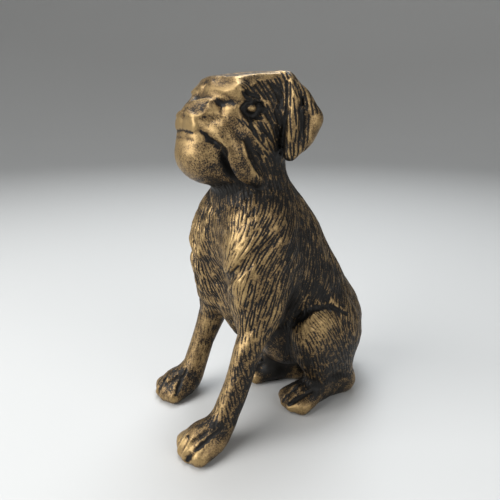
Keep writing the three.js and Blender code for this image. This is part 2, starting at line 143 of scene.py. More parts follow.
BODY = HairStyle(1.5, 14.0, 36.0, 0.56, 0.42)
NECK = HairStyle(1.4, 6.0, 13.0, 0.52, 0.34)
TEMPLE = HairStyle(1.6, 8.0, 17.0, 0.6, 0.46)
THIGH = HairStyle(1.5, 6.0, 14.0, 0.52, 0.36)
LEG = HairStyle(1.3, 4.0, 12.0, 0.3, 0.15)
FAINT = HairStyle(1.6, 3.0, 8.0, 0.36, 0.1)
HATCH = HairStyle(1.75, 4.0, 9.0, 0.6, 0.42)

GUIDES: tuple[Guide, ...] = (
    Guide(NECK, ((6, 18, 111), (14, 14, 97))),
    Guide(NECK, ((14, 22, 116), (21, 17, 102))),
    Guide(NECK, ((18, 27, 118), (25, 21, 102))),
    Guide(NECK, ((19, 33, 120), (26, 28, 109))),
    Guide(NECK, ((18, 41, 120), (23, 38, 111))),
    Guide(NECK, ((12, 52, 122), (15, 55, 110))),
    Guide(BODY, ((24, 38, 110), (27, 25, 103), (25, 18, 96), (16, 12, 83))),
    Guide(BODY, ((26, 38, 106), (29, 27, 98), (25, 19, 88), (16, 15, 78))),
    Guide(BODY, ((25, 43, 103), (30, 32, 93), (30, 24, 78), (27, 19, 61))),
    Guide(BODY, ((29, 38, 92), (30, 29, 77), (29, 22, 61))),
    Guide(BODY, ((30, 35, 78), (31, 29, 67), (30, 24, 53))),
    Guide(BODY, ((29, 23, 89), (27, 19, 75), (24, 17, 63))),
    Guide(BODY, ((22, 16, 83), (24, 16, 74))),
    Guide(BODY, ((18, 15, 69), (22, 16, 57))),
    Guide(BODY, ((19, 50, 109), (25, 47, 97), (28, 42, 84), (30, 37, 68))),
    Guide(BODY, ((19, 57, 101), (22, 59, 87), (24, 55, 72), (20, 50, 57))),
    Guide(BODY, ((17, 69, 90), (20, 72, 77), (24, 68, 64), (24, 59, 57))),
    Guide(BODY, ((6, 78, 88), (9, 88, 70), (12, 94, 54))),
    Guide(BODY, ((14, 83, 74), (18, 86, 59), (30, 74, 49))),
    Guide(BODY, ((19, 90, 52), (30, 83, 43))),
    Guide(BODY, ((8, 102, 44), (12, 104, 30))),
    Guide(BODY, ((5, 62, 108), (6, 72, 97))),
    Guide(BODY, ((24, 50, 71), (18, 48, 53))),
    Guide(THIGH, ((31, 58, 52), (33, 64, 38), (31, 71, 22))),
    Guide(THIGH, ((31, 71, 48), (33, 77, 34))),
    Guide(THIGH, ((29, 51, 48), (31, 57, 31))),
    Guide(THIGH, ((33, 71, 27), (28, 80, 10))),
    Guide(THIGH, ((27, 49, 40), (19, 58, 16))),
    Guide(THIGH, ((24, 92, 40), (20, 98, 24))),
    Guide(LEG, ((24, 17, 54), (25, 12, 42), (24.5, 8, 34), (25.5, 3, 23)), Side.LEFT),
    Guide(FAINT, ((-26, 19, 52), (-27.4, 17.3, 35.5), (-25.1, 12.6, 24.3), (-21.6, 8.1, 15)), Side.LEFT),
    Guide(HATCH, ((29, 16, 55), (31.5, 22, 49)), Side.LEFT),
    Guide(HATCH, ((27.5, 12, 46), (31.5, 18, 40)), Side.LEFT),
    Guide(HATCH, ((28.5, 9, 38), (32, 15, 31)), Side.LEFT),
    Guide(HATCH, ((29, 5, 30), (32, 11.5, 23)), Side.LEFT),
    Guide(FAINT, ((28, 51, 51), (30.5, 57, 50), (31.5, 64, 46)), Side.LEFT),
    Guide(HATCH, ((30.5, 21, 48), (31, 18.5, 40)), Side.RIGHT),
    Guide(HATCH, ((31, 17, 36), (31, 14, 28)), Side.RIGHT),
    Guide(NECK, ((0, 18, 113), (0, 16, 100))),
    Guide(NECK, ((7.1, 18.3, 111), (11.8, 15.4, 102.9), (13.3, 13.3, 94.1)), Side.LEFT),
    Guide(NECK, ((0, 16, 98), (3, 17, 84)), Side.LEFT),
    Guide(THIGH, ((-11.7, 15.5, 103.1), (-5.6, 15.9, 95.7)), Side.LEFT),
    Guide(THIGH, ((-9.4, 14.6, 95.1), (-2.9, 17.4, 82.9)), Side.LEFT),
    Guide(BODY, ((-17.7, 14.4, 77.4), (-8.3, 18.3, 64.2), (2, 24, 48)), Side.LEFT),
    Guide(BODY, ((-20, 14, 96), (-22, 15, 80), (-16, 17, 62)), Side.LEFT),
    Guide(TEMPLE, ((18, 27, 164), (19, 35, 159), (21, 39, 152))),
    Guide(TEMPLE, ((19, 30, 157), (20, 36, 150))),
    Guide(TEMPLE, ((20, 33, 151), (21, 39, 141))),
    Guide(TEMPLE, ((20, 26, 148), (21, 33, 138))),
    Guide(TEMPLE, ((20, 29, 136), (16, 42, 128))),
    Guide(TEMPLE, ((18, 32, 128), (19, 38, 120))),
    Guide(TEMPLE, ((20, 24, 141), (20, 31, 135))),
    Guide(TEMPLE, ((24, 45, 163), (26, 46, 153), (27, 43, 140))),
    Guide(TEMPLE, ((26, 48, 159), (29, 50, 148))),
    Guide(TEMPLE, ((25, 42, 160), (27, 39, 149), (26, 39, 136))),
    Guide(TEMPLE, ((28, 49, 149), (28, 46, 139))),
    Guide(TEMPLE, ((5, 50, 158), (6, 54, 142), (8, 53, 126))),
)

# Middles and half lengths of the parts without hair: skull top, brow, muzzle, chin, lips, eye, rear of
# the ear
BARE: tuple[tuple[Place, Place], ...] = (
    ((0, 22, 175), (26, 20, 10.5)),
    ((0, 10, 158), (24, 10.5, 10)),
    ((0, 6, 146), (24, 13, 14)),
    ((0, 10, 133), (24, 15, 12)),
    ((17.5, 20, 134), (7, 6, 12)),
    ((19, 25, 153.5), (4, 6, 4.5)),
    ((28, 54, 142), (6, 6, 9)),
)

# Zones where the casting's wide grooves are filled before finer ones are cut, and the share filled
CAULKS: tuple[Zone, ...] = (
    Zone((15, 16, 130), (8, 11, 15), 1.0),
    Zone((13.5, 6, 141.5), (7, 8, 6), 1.0),
    Zone((9, 7, 150), (12, 10, 3.5), 0.6),
    Zone((8, 9, 158.5), (16, 9, 5), 0.85),
    Zone((22, 40, 157), (6, 6, 11), 0.6),
    Zone((18, 17, 84), (20, 14, 18), 0.9),
    Zone((27, -8, 9), (11, 13, 9), 0.6, Side.LEFT),
    Zone((25, 3, 9), (12, 13, 9), 0.6, Side.RIGHT),
    Zone((21, 49, 8), (11, 10, 8), 0.5, Side.LEFT),
)

# Painted shade with more black paint than the form would give, or painted highlight with rubbed gold where
# the amount is below 0
SHADOWS: tuple[Zone, ...] = (
    # Dark places, painted shade with black paint: outer sides of the legs, belly, inner sides, neck, folds,
    # tops of the feet
    Zone((31, 12, 30), (6, 12, 26), 0.25, Side.LEFT),
    Zone((27, 16, 34), (9, 12, 28), 0.16, Side.RIGHT),
    Zone((0, 45, 30), (20, 30, 26), 0.35),
    Zone((0, 26, 119), (16, 12, 6), 0.3),
    Zone((24, 50, 28), (8, 9, 16), 0.3),
    Zone((26, 44, 60), (9, 12, 14), 0.25),
    Zone((24, 72, 68), (12, 22, 12), 0.2),
    Zone((31, 68, 27), (10, 24, 15), 0.2),
    Zone((26, 50, 86), (14, 24, 22), 0.12),
    Zone((0, 36, 116), (32, 32, 12), 0.18),
    Zone((19, 25, 154), (4, 6.5, 5), 0.3),
    Zone((22, 40, 128), (6, 8, 12), 0.25),
    Zone((20, 19, 133), (8, 9, 13), 0.2),
    Zone((0, 24, 172), (26, 28, 13), 0.36),
    Zone((0, 12, 126), (24, 18, 13), 0.2),
    Zone((0, 5, 155), (16, 13, 8), 0.32),
    Zone((14, 11, 152.5), (5, 7, 5), -0.2),
    Zone((29, 72, 8), (11, 18, 11), 0.3, Side.LEFT),
    Zone((25, -4, 12), (13, 15, 8), 0.34, Side.LEFT),
    Zone((24, 4, 8), (14, 16, 11), 0.42, Side.RIGHT),
    Zone((19, 53, 9), (15, 15, 10), 0.42, Side.LEFT),
    Zone((12, 58, 8), (16, 18, 11), 0.5, Side.RIGHT),
    # Bright places, painted highlights with rubbed gold: lip pad, flat of the breast, points of shoulder and
    # knee
    Zone((5, 1, 148), (9, 5, 5), -0.3),
    Zone((24, 15, 76), (6, 6, 7), -0.2),
    Zone((20, 14, 92), (13, 10, 12), -0.24),
    Zone((30, 58, 50), (8, 13, 8), -0.22),
    Zone((21, 31, 138), (6, 9, 10), -0.15),
    Zone((25, -16, 6), (8, 6, 6), -0.25, Side.LEFT),
)

MARKS: tuple[Mark, ...] = (
    # Wide grooves of the casting filled on the muzzle, before the fine ones are cut
    Mark(((14.1, 9.2, 136.8, 2.6), (13.9, 10.9, 133.4, 3.0), (12.9, 13.4, 128.8, 3.2),
          (12.2, 17.4, 124.5, 3.0), (12.6, 21.9, 121.1, 2.4)), -0.9),
    Mark(((0, 2.4, 150.6, 2.2), (8, 3.2, 150.4, 2.4), (12, 8, 149.6, 2.4), (12.6, 13, 150, 1.8)), -0.3),
    Mark(((0, 9, 158.6, 2.2), (9, 11, 157.8, 2.5), (17, 15, 156.5, 2.0)), -0.2),
    # Crown
    Mark(((0, 19, 167, 9), (0, 27, 168, 11), (0, 36, 168.8, 10)), -1.0),
    # Mouth and jaw
    Mark(((0.5, 0.9, 144.7, 0.9), (3.5, 1.1, 144.4, 1.0), (7.4, 1.8, 143.9, 0.8)), 0.6, black=0.55,
         profile=Profile.VEE),
    Mark(((0, 0.3, 141.4, 0.8), (5.8, 0.8, 141.3, 1.0), (8.5, 2, 140.8, 0.7)), 0.3, black=0.25),
    Mark(((11.0, 4.0, 144.6, 0.8), (12.6, 5.4, 142.9, 1.3), (13.5, 6.3, 141.5, 1.5), (15, 8.3, 139.7, 1.4),
          (16.4, 10.8, 137.4, 0.9)), 1.7, black=1.0),
    Mark(((16.5, 11, 137.2, 0.9), (16.4, 12.8, 134.3, 1.2), (16.2, 15.6, 130.2, 1.5),
          (16.2, 17.7, 127, 1.6), (16, 20.4, 124.0, 1.5), (16.4, 24, 121.3, 1.4), (17.9, 28.4, 119.4, 1.1)),
         1.5, black=1.0),
    Mark(((20.9, 18.9, 140.2, 1.2), (21.9, 19.3, 136.1, 1.5), (21.8, 20.9, 131.8, 1.5),
          (21.5, 23.1, 128.2, 1.5), (21.4, 26.3, 125, 1.4), (18, 31.3, 122.3, 1.0)), -0.6, rub=0.7),
    Mark(((21.3, 21.4, 139.5, 1.4), (21.9, 22.8, 134.7, 2.2), (22.1, 24.8, 131.3, 2.5),
          (22, 27.4, 128.1, 2.5), (21.3, 30, 126.1, 1.9)), 1.3, black=1.0),
    # Eye, the runs under it and the slots under the brow
    Mark(((18.6, 19.3, 153.9, 0.9), (18.5, 21.9, 156.2, 1.3), (18.3, 26.6, 156.6, 1.5),
          (18.6, 29.3, 155.2, 1.7)), 0.9, black=1.0),
    Mark(((18.6, 29.3, 155.2, 1.9), (19.6, 31, 152.2, 1.6), (20.4, 32.6, 149.8, 1.2)), 0.8, black=1.0),
    Mark(((18.2, 19.6, 153.4, 0.7), (17.8, 22.6, 151.6, 1.0), (18.2, 25.5, 150.7, 1.3),
          (19.8, 28.8, 149.8, 1.2)), 0.7, black=1.0),
    Mark(((19.2, 23.2, 153.7, 1.5), (19.2, 25.2, 153.6, 1.5)), -0.9, rub=1.0),
    Mark(((18.3, 23.4, 150.8, 1.0), (20.2, 23.4, 146.6, 1.2), (20.7, 25.2, 143.3, 1.0),
          (20.9, 27.6, 140.3, 0.6)), 0.6, black=1.0),
    Mark(((20.4, 26.9, 148.2, 0.8), (21.2, 29.4, 144.8, 1.3), (21.3, 32.5, 141.8, 1.1),
          (21.3, 34, 139.5, 0.6)), 0.6, black=1.0),
    Mark(((21.3, 28.9, 142.6, 1.3), (21.1, 29.3, 139.9, 1.1)), 0.5, black=1.0),
    Mark(((19.2, 21.2, 160.2, 0.9), (18.9, 24.7, 159.4, 1.2), (18.9, 28.3, 158.2, 0.9)), 0.9, black=1.0),
    Mark(((19.3, 21.4, 158.3, 0.7), (19.1, 24.4, 157.6, 0.8)), 0.6, black=0.9),
    Mark(((3.5, 11.2, 157.6, 1.8), (11.6, 13.4, 156.2, 2.2), (17.2, 16.5, 155.8, 1.8),
          (19.2, 19.1, 156.6, 1.2)), 0.5, black=0.25),
    # Nose and the bright facet beside it
    Mark(((0.8, 4.6, 157.2, 0.8), (7.7, 5.9, 157, 0.9), (10.3, 10.8, 155.8, 0.8)), 0.35, black=0.45),
    Mark(((13.4, 13.5, 152.5, 1.6), (13.6, 11.0, 150.6, 1.9), (12.2, 7.6, 150.6, 1.0)), 0.25, black=0.1),
    Mark(((11.4, 6.0, 150.4, 0.8), (5.2, 2.5, 151.2, 0.9)), 0.3, black=0.3),
    Mark(((10.9, 10.9, 155.2, 1.2), (12.5, 11.4, 152.5, 1.3)), -0.2, rub=1.0),
    # Ear
    Mark(((20.3, 41.4, 164.6, 0.8), (22.6, 40.4, 158.4, 1.1), (23.5, 39.3, 151, 1.4),
          (21.5, 39.4, 142.4, 1.9), (18.4, 40.7, 134.7, 1.7)), 1.4, black=1.0),
    Mark(((21.8, 43, 165, 1.0), (25.4, 42, 159.2, 1.3), (26.5, 40.6, 153.1, 1.3), (25.4, 40, 146.8, 1.3),
          (23.5, 40.6, 139, 1.0)), -0.6, rub=0.5),
    # Temple edge
    Mark(((19.5, 20.9, 161.5, 1.0), (18.2, 27.2, 164.4, 1.0), (16.9, 34.2, 167, 1.0),
          (18, 41.4, 168.8, 1.0)), -0.25, rub=0.3),
    # Breast and shoulder
    Mark(((27.3, 25.1, 101.6, 2.4), (25.7, 19.4, 97.1, 3.2), (21.6, 14.1, 90, 3.6), (13, 14.6, 83, 2.6)),
         -0.9, rub=0.5),
    Mark(((24.9, 18.8, 88.2, 1.6), (19.2, 16, 81.4, 2.2), (11.4, 16.2, 74.1, 1.8)), 0.3, black=0.12),
    Mark(((24, 15.1, 78.3, 4.5), (24.5, 15.3, 73.5, 4.5)), -0.8, rub=0.35),
    Mark(((5.4, 17.9, 111.8, 2.0), (6.9, 16.3, 103.9, 2.4), (8.6, 14.7, 94.2, 2.6), (12.2, 13.5, 85.3, 2.4),
          (15.1, 13.1, 78.8, 2.0)), -0.6, rub=0.5, side=Side.RIGHT),
    # Thigh crease and knee
    Mark(((20.7, 48.5, 47.8, 1.4), (24.2, 51.9, 53.2, 2.0), (25, 58.2, 56.3, 2.2), (26.1, 68.7, 55.4, 2.0),
          (29.3, 77.1, 50.7, 1.2)), 1.1, black=1.0),
    Mark(((28, 52, 50, 3.5), (30.5, 60, 52, 4.0), (32, 70, 47, 3.5)), -0.4, rub=0.3),
    # Toes, as they show on each foot
    Mark(((31.2, 0.5, 13.3, 0.7), (32.2, -5.3, 11.8, 1.1), (32.4, -11, 9.2, 1.4), (31.4, -16.6, 5, 1.5),
          (30.2, -18.5, 1.5, 1.4)), 1.2, black=1.0, side=Side.LEFT),
    Mark(((26.6, -9, 13.6, 0.7), (26.2, -14.5, 9.8, 0.8), (25.8, -18.5, 4.5, 0.9)), 0.45, black=0.35,
         side=Side.LEFT),
    Mark(((21, -9, 12.2, 0.6), (20.6, -14, 9.5, 0.7), (20.2, -17.6, 4, 0.9)), 0.45, black=0.35,
         side=Side.LEFT),
    Mark(((21.4, 8.2, 14.4, 1.0), (18.3, 2.8, 10.7, 1.4), (15.5, -1.1, 5.7, 1.3)), 0.8, black=1.0,
         side=Side.RIGHT),
    Mark(((25.5, 3, 14.0, 0.7), (25.3, -2.5, 11.2, 0.9), (25.2, -7, 4.5, 1.0)), 0.5, black=0.7,
         side=Side.RIGHT),
    Mark(((30.2, 3, 13.0, 0.7), (30.4, -2, 9.2, 1.0), (30, -6, 4, 1.1)), 0.6, black=0.9, side=Side.RIGHT),
    Mark(((26.9, 57.4, 10.6, 0.8), (26.2, 51.5, 8.9, 1.4), (25, 48, 7.3, 1.6), (23.4, 44.6, 4.8, 1.3)), 1.0,
         black=1.0, side=Side.LEFT),
    Mark(((20.4, 52, 11, 0.7), (19.4, 47, 8, 0.9), (18.4, 44.2, 4, 1.0)), 0.5, black=0.7, side=Side.LEFT),
    Mark(((28, 51, 5.5, 2.4), (26.4, 46.5, 3.6, 2.8), (24, 43.8, 3.0, 2.2)), -0.3, rub=1.0, side=Side.LEFT),

)


def toe_slits(toe: tuple[float, float], ahead: tuple[float, float], spacing: float, side: Side) -> list[Mark]:
    """Makes the three slits between the toes of one foot.

    Args:
        toe: Where the middle of the toes is, seen from above.
        ahead: The direction the foot points in, seen from above.
        spacing: From one slit to the next.
        side: The side of the figure, with x counted outwards on it.

    Returns:
        The slits, from the inner to the outer one.
    """
    marks = []
    for step in (-1, 0, 1):
        stations = []
        for forward, height, share, radius in ((13, 2, 1, 1.2), (9.5, 8.5, 1, 1.2), (0, 13, 0.9, 0.9)):
            across = step * spacing * share
            stations.append((toe[0] - ahead[1] * across + ahead[0] * forward,
                             toe[1] + ahead[0] * across + ahead[1] * forward, height, radius))
        marks.append(Mark(tuple(stations), 0.7, black=1.0, side=side))
    return marks


TOES: tuple[Mark, ...] = (
    *toe_slits((13.5, 55.5), (0.502, -0.865), 4.6, Side.RIGHT),
)

FACETS: tuple[Facet, ...] = (
    Facet((0, 28, 167.9), (0, -0.11, 0.994), (24, 20, 7), 1.3),
    Facet((10, 13.0, 162.2), (0.25, -0.62, 0.75), (24, 9, 7)),
    Facet((10, 10.9, 160.2), (0.25, -0.93, 0.28), (24, 6, 4)),
    Facet((8, 9.8, 158.6), (0.43, -0.88, 0.46), (13, 5, 4), 1.2, Side.RIGHT),
    Facet((8, 6.4, 154.4), (0.35, -0.72, 0.69), (12, 7, 6), 0.8),
    Facet((19.1, 31, 158), (0.985, 0, 0.17), (5, 12, 9), 0.8),
    Facet((11.6, 10.4, 154.2), (0.85, -0.2, 0.45), (4.5, 6, 4.5), 0.5),
    Facet((5, 1.5, 148), (0.14, -1, 0.06), (12, 4, 7), 0.8),
)


def on_side(points: np.ndarray, side: Side) -> np.ndarray:
    """Folds points over to the side that a mark is written for.

    Args:
        points: Places on the figure.
        side: The mark's side. RIGHT is written with x counted to the right.

    Returns:
        The points with x changed to suit.
    """
    folded = points.copy()
    if side is Side.BOTH:
        folded[:, 0] = np.abs(folded[:, 0])
    elif side is Side.RIGHT:
        folded[:, 0] = -folded[:, 0]
    return folded


def line_level(points: np.ndarray, stations: np.ndarray) -> tuple[np.ndarray, np.ndarray]:
    """Tells how near points are to a line whose radius changes along it.

    Args:
        points: Places on the figure.
        stations: Rows of x, y, z and radius.

    Returns:
        The distance to the line as a share of its radius there, and that radius over the largest one.
    """
    level = np.full(len(points), np.inf)
    girth = np.zeros(len(points))
    for start, end in zip(stations[:-1], stations[1:]):
        span = end[:3] - start[:3]
        along = np.clip((points - start[:3]) @ span / max(float(span @ span), 1e-9), 0, 1)
        radius = start[3] + (end[3] - start[3]) * along
        gap = np.linalg.norm(points - start[:3] - along[:, None] * span, axis=1) / radius
        nearer = gap < level
        level[nearer] = gap[nearer]
        girth[nearer] = radius[nearer]
    return level, girth / stations[:, 3].max()


def fall_off(level: np.ndarray, profile: Profile) -> np.ndarray:
    """Turns a distance as a share of the radius into a mark's strength there.

    Args:
        level: 0 on the line and 1 at its edge.
        profile: The shape of the mark's section.

    Returns:
        Strengths from 1 on the line to 0 at its edge and beyond.
    """
    inside = np.clip(1 - level, 0, 1)
    if profile is Profile.VEE:
        return inside
    return np.clip(1 - level * level, 0, 1) ** 2


@dataclass
class Skin:
    """The figure's skin as arrays, in layout millimetres."""

    points: np.ndarray
    quads: np.ndarray
    edges: np.ndarray
    degree: np.ndarray = field(init=False)

    def __post_init__(self) -> None:
        """Counts how many edges meet in each point."""
        self.degree = np.bincount(self.edges.ravel(), minlength=len(self.points)).astype(float)

    def around(self, values: np.ndarray) -> np.ndarray:
        """Averages values over each point's neighbours.

        Args:
            values: One row for each point.

        Returns:
            The average over the neighbours, in the same form.
        """
        first, second = self.edges.T
        columns = values.reshape(len(values), -1).T
        count = len(values)
        sums = [np.bincount(first, column[second], count) + np.bincount(second, column[first], count)
                for column in columns]
        return (np.stack(sums, axis=1) / self.degree[:, None]).reshape(values.shape)

    def smoothed(self, values: np.ndarray, rounds: int) -> np.ndarray:
        """Evens values out over the skin.

        Args:
            values: One row for each point.
            rounds: How often each point takes the mean of itself and its neighbours.

        Returns:
            The evened values.
        """
        for _ in range(rounds):
            values = 0.5 * values + 0.5 * self.around(values)
        return values

    def caulk(self, zones: tuple[Zone, ...], passes: int = 3, rounds: int = 40) -> None:
        """Fills low places in some zones up to the evened skin.

        Args:
            zones: The zones.
            passes: How often the zones are filled.
            rounds: How much the skin is evened each time.
        """
        for _ in range(passes):
            evened = self.smoothed(self.points, rounds)
            normals = self.normals(6)
            low = np.maximum(np.sum((evened - self.points) * normals, axis=1), 0)
            for zone in zones:
                inside = zone_share(self.points, zone.middle, zone.reach, zone.side)
                self.points += normals * (low * inside * zone.amount)[:, None]
                low *= 1 - inside * zone.amount

    def relax(self, rounds: int) -> None:
        """Rounds off the facets of the casting without shrinking it, with the soles kept flat.

        Args:
            rounds: How many pairs of a smoothing and a swelling step.
        """
        sole = self.points[:, 2] < 0.05
        for _ in range(rounds):
            for factor in (0.55, -0.58):
                self.points += factor * (self.around(self.points) - self.points)
                self.points[sole, 2] = 0

    def normals(self, rounds: int = 0) -> np.ndarray:
        """Works out the outward direction at each point.

        Args:
            rounds: How much the directions are evened out.

        Returns:
            Unit vectors.
        """
        a, b, c, d = (self.points[self.quads[:, n]] for n in range(4))
        faces = np.cross(c - a, d - b)
        total = np.zeros_like(self.points)
        for axis in range(3):
            for n in range(4):
                total[:, axis] += np.bincount(self.quads[:, n], faces[:, axis], len(self.points))
        total = self.smoothed(total, rounds)
        return total / np.maximum(np.linalg.norm(total, axis=1, keepdims=True), 1e-12)


def zone_share(points: np.ndarray, middle: Place, reach: Place, side: Side) -> np.ndarray:
    """Tells how far inside a rounded zone points are.

    Args:
        points: Places on the figure.
        middle: The zone's middle.
        reach: Its half lengths.
        side: The side that the zone is written for.

    Returns:
        1 well inside to 0 at the zone's edge and beyond.
    """
    level = np.linalg.norm((on_side(points, side) - np.array(middle)) / np.array(reach), axis=1)
    ramp = np.clip((1 - level) / 0.4, 0, 1)
    return ramp * ramp * (3 - 2 * ramp)


class Carver:
    """Cuts marks and flats into a skin and keeps the paint that goes with them."""

    RAGGED_WAVE = 0.55
    EDGE = (0.86, 0.34)
    PAINTED = (1.3, 0.1)

    def __init__(self, skin: Skin) -> None:
        """Starts with unmarked skin.

        Args:
            skin: The skin to carve.
        """
        self.skin = skin
        self.black = np.zeros(len(skin.points))
        self.rub = np.zeros(len(skin.points))
        places = skin.points.tolist()
        self.ragged = np.array([turbulence(Vector(place) * self.RAGGED_WAVE, 3, False) for place in places])

    def plane(self, facet: Facet) -> None:
        """Planes one flat.

        Args:
            facet: The flat.
        """
        points = on_side(self.skin.points, facet.side)
        normal = np.array(facet.normal) / np.linalg.norm(facet.normal)
        height = (points - np.array(facet.middle)) @ normal
        zone = zone_share(self.skin.points, facet.middle, facet.reach, facet.side)
        filled = np.clip(2 + height / max(facet.fill, 1e-6), 0, 1) * (height > -2 * facet.fill)
        kept = np.where(height > 0, 1, filled)
        shift = (height * zone * kept)[:, None] * normal
        if facet.side is not Side.LEFT:
            shift[:, 0] *= -1 if facet.side is Side.RIGHT else np.sign(self.skin.points[:, 0])
        self.skin.points -= shift

    def cut(self, marks: tuple[Mark, ...]) -> None:
        """Cuts marks one after the other.

        Args:
            marks: What to cut.
        """
        normals = self.skin.normals(4)
        for mark in marks:
            stations = np.array(mark.stations, dtype=float)
            reach = stations[:, 3].max()
            folded = on_side(self.skin.points, mark.side)
            above = folded > stations[:, :3].min(axis=0) - reach
            below = folded < stations[:, :3].max(axis=0) + reach
            near = np.nonzero((above & below).all(axis=1))[0]
            if len(near) == 0:
                LOG.warning("a mark near %s touches nothing", mark.stations[0][:3])
                continue
            level, girth = line_level(folded[near], stations)
            strength = fall_off(level * (self.EDGE[0] + self.EDGE[1] * self.ragged[near]), mark.profile)
            self.skin.points[near] -= normals[near] * (mark.depth * girth * strength)[:, None]
            tone = np.clip(self.PAINTED[0] * strength - self.PAINTED[1], 0, 1)
            self.black[near] = np.maximum(self.black[near] * (1 - mark.rub * tone), mark.black * tone)
            self.rub[near] = np.maximum(self.rub[near] * (1 - mark.black * tone), mark.rub * tone)


@dataclass
class Hairs:
    """Sampled points of all hair lines, with the cut at each."""

    places: list[Vector] = field(default_factory=list)
    half_widths: list[float] = field(default_factory=list)
    depths: list[float] = field(default_factory=list)
    blacks: list[float] = field(default_factory=list)


class Coat:
    """Lays evenly spaced hair lines over the skin along the guides."""

    STEP = 0.4
    NEARBY = 6.5
    LEAST_WEIGHT = 0.16
    FOOT_HEIGHT = 12
    TURN = 0.09
    PATCH_WAVE = 0.11
    APART = 0.9
    TAKEN = 0.55

    def __init__(self, points: np.ndarray, normals: np.ndarray, seed: int = 7) -> None:
        """Works out the hair's direction and cut at every point.

        Args:
            points: Places on the skin.
            normals: Outward directions there.
            seed: For the random choices.
        """
        self.points = points
        self.normals = normals
        self.random = random.Random(seed)
        self.flow, self.styles, self.weight = self._field()
        self.covered = self._cover()
        self.tree = KDTree(len(points))
        for index, point in enumerate(points):
            self.tree.insert(point, index)
        self.tree.balance()
        self.taken = np.zeros(len(points), dtype=np.int32)
        self.blocked = np.zeros(len(points), dtype=bool)

    def _samples(self) -> tuple[np.ndarray, np.ndarray, np.ndarray]:
        """Breaks the guides into short steps on both sides.

        Returns:
            Places, directions and styles of the steps.
        """
        places, ways, styles = [], [], []
        for guide in GUIDES:
            style = guide.style
            row = (style.spacing, style.shortest, style.longest, style.half_width, style.depth)
            for start, end in zip(guide.points[:-1], guide.points[1:]):
                start, end = np.array(start, dtype=float), np.array(end, dtype=float)
                span = np.linalg.norm(end - start)
                count = max(2, int(span / 3))
                for share in np.linspace(0, 1, count):
                    for flip in ((1, -1) if guide.side is Side.BOTH else (1,)):
                        mirror = np.array([flip, 1, 1])
                        places.append((start + (end - start) * share) * mirror)
                        ways.append((end - start) / span * mirror)
                        styles.append(row)
        return np.array(places), np.array(ways), np.array(styles)

    def _field(self) -> tuple[np.ndarray, np.ndarray, np.ndarray]:
        """Blends the guides' directions and styles over the skin.

        Returns:
            Unit directions in the skin, styles and how near a guide is, for every point.
        """
        places, ways, styles = self._samples()
        flow = np.zeros_like(self.points)
        style = np.zeros((len(self.points), styles.shape[1]))
        weight = np.zeros(len(self.points))
        for start in range(0, len(self.points), 4000):
            part = slice(start, start + 4000)
            gap = np.sum(self.points[part] ** 2, axis=1, keepdims=True) + np.sum(places ** 2, axis=1)
            gap -= 2 * self.points[part] @ places.T
            near = np.exp(-0.5 * gap / self.NEARBY ** 2)
            weight[part] = near.max(axis=1)
            near += 1e-12
            flow[part] = near @ ways
            style[part] = near @ styles / near.sum(axis=1, keepdims=True)
        flow -= self.normals * np.sum(flow * self.normals, axis=1, keepdims=True)
        flow /= np.maximum(np.linalg.norm(flow, axis=1, keepdims=True), 1e-12)
        return flow, style, weight

    def _cover(self) -> np.ndarray:
        """Tells where hair is cut.

        Returns:
            True for each point with hair.
        """
        covered = self.weight > self.LEAST_WEIGHT
        folded = on_side(self.points, Side.BOTH)
        for middle, reach in BARE:
            covered &= np.sum(((folded - np.array(middle)) / np.array(reach)) ** 4, axis=1) > 1
        return covered & (self.points[:, 2] > self.FOOT_HEIGHT)

    def _trace(self, seed: int, owner: int) -> list[tuple[Vector, int]]:
        """Follows the flow both ways from a point until the hair is long enough or meets another.

        Args:
            seed: The point to start from.
            owner: The hair's own number.

        Returns:
            Places along the hair with the skin point nearest each.
        """
        _, shortest, longest, _, _ = self.styles[seed]
        length = self.random.uniform(shortest, longest)
        turn = self.random.gauss(0, self.TURN)
        halves: list[list[tuple[Vector, int]]] = []
        for sign in (1, -1):
            place, index, half = Vector(self.points[seed]), seed, []
            heading = Vector(self.flow[index]) * sign
            for _ in range(int(length / 2 / self.STEP)):
                normal = Vector(self.normals[index])
                place = place + (heading + normal.cross(heading) * turn * sign).normalized() * self.STEP
                near, index, _ = self.tree.find(place)
                if not self.covered[index] or self.taken[index] not in (0, owner):
                    break
                place = place - Vector(self.normals[index]) * (place - near).dot(Vector(self.normals[index]))
                fresh = Vector(self.flow[index]) * sign
                if fresh.dot(heading) < 0.3:
                    break
                heading = fresh
                half.append((place, index))
            halves.append(half)
        return [*reversed(halves[1]), (Vector(self.points[seed]), seed), *halves[0]]

    def grow(self) -> Hairs:
        """Lays hairs until the covered skin is full.

        Returns:
            The hairs' points.
        """
        hairs = Hairs()
        order = np.nonzero(self.covered)[0].tolist()
        self.random.shuffle(order)
        owner = 0
        for seed in order:
            if self.blocked[seed]:
                continue
            owner += 1
            trace = self._trace(seed, owner)
            spacing, _, _, half_width, depth = self.styles[seed]
            boldness = self.random.uniform(0.55, 1.15)
            patch = noise(Vector(self.points[seed]) * self.PATCH_WAVE)
            boldness *= min(1.15, max(0.5, 1.0 + 1.1 * patch))
            for number, (place, _) in enumerate(trace):
                if number % 2 == 0:
                    for _, index, gap in self.tree.find_range(place, spacing * self.APART):
                        self.blocked[index] = True
                        if gap < spacing * self.TAKEN and self.taken[index] == 0:
                            self.taken[index] = owner
            if len(trace) < 5:
                continue
            for number, (place, _) in enumerate(trace):
                taper = min(1.0, 1.5 * math.sin(math.pi * (number + 0.5) / len(trace)) ** 0.6)
                hairs.places.append(place)
                hairs.half_widths.append(half_width * (0.6 + 0.4 * taper) * (0.8 + 0.25 * boldness))
                hairs.depths.append(depth * taper * boldness)
                shallow = min(1.0, 0.35 + 1.8 * depth)
                hairs.blacks.append(min(1.0, taper * (0.55 + 0.6 * boldness)) * shallow)
        LOG.info("%d hairs, %d points", owner, len(hairs.places))
        return hairs


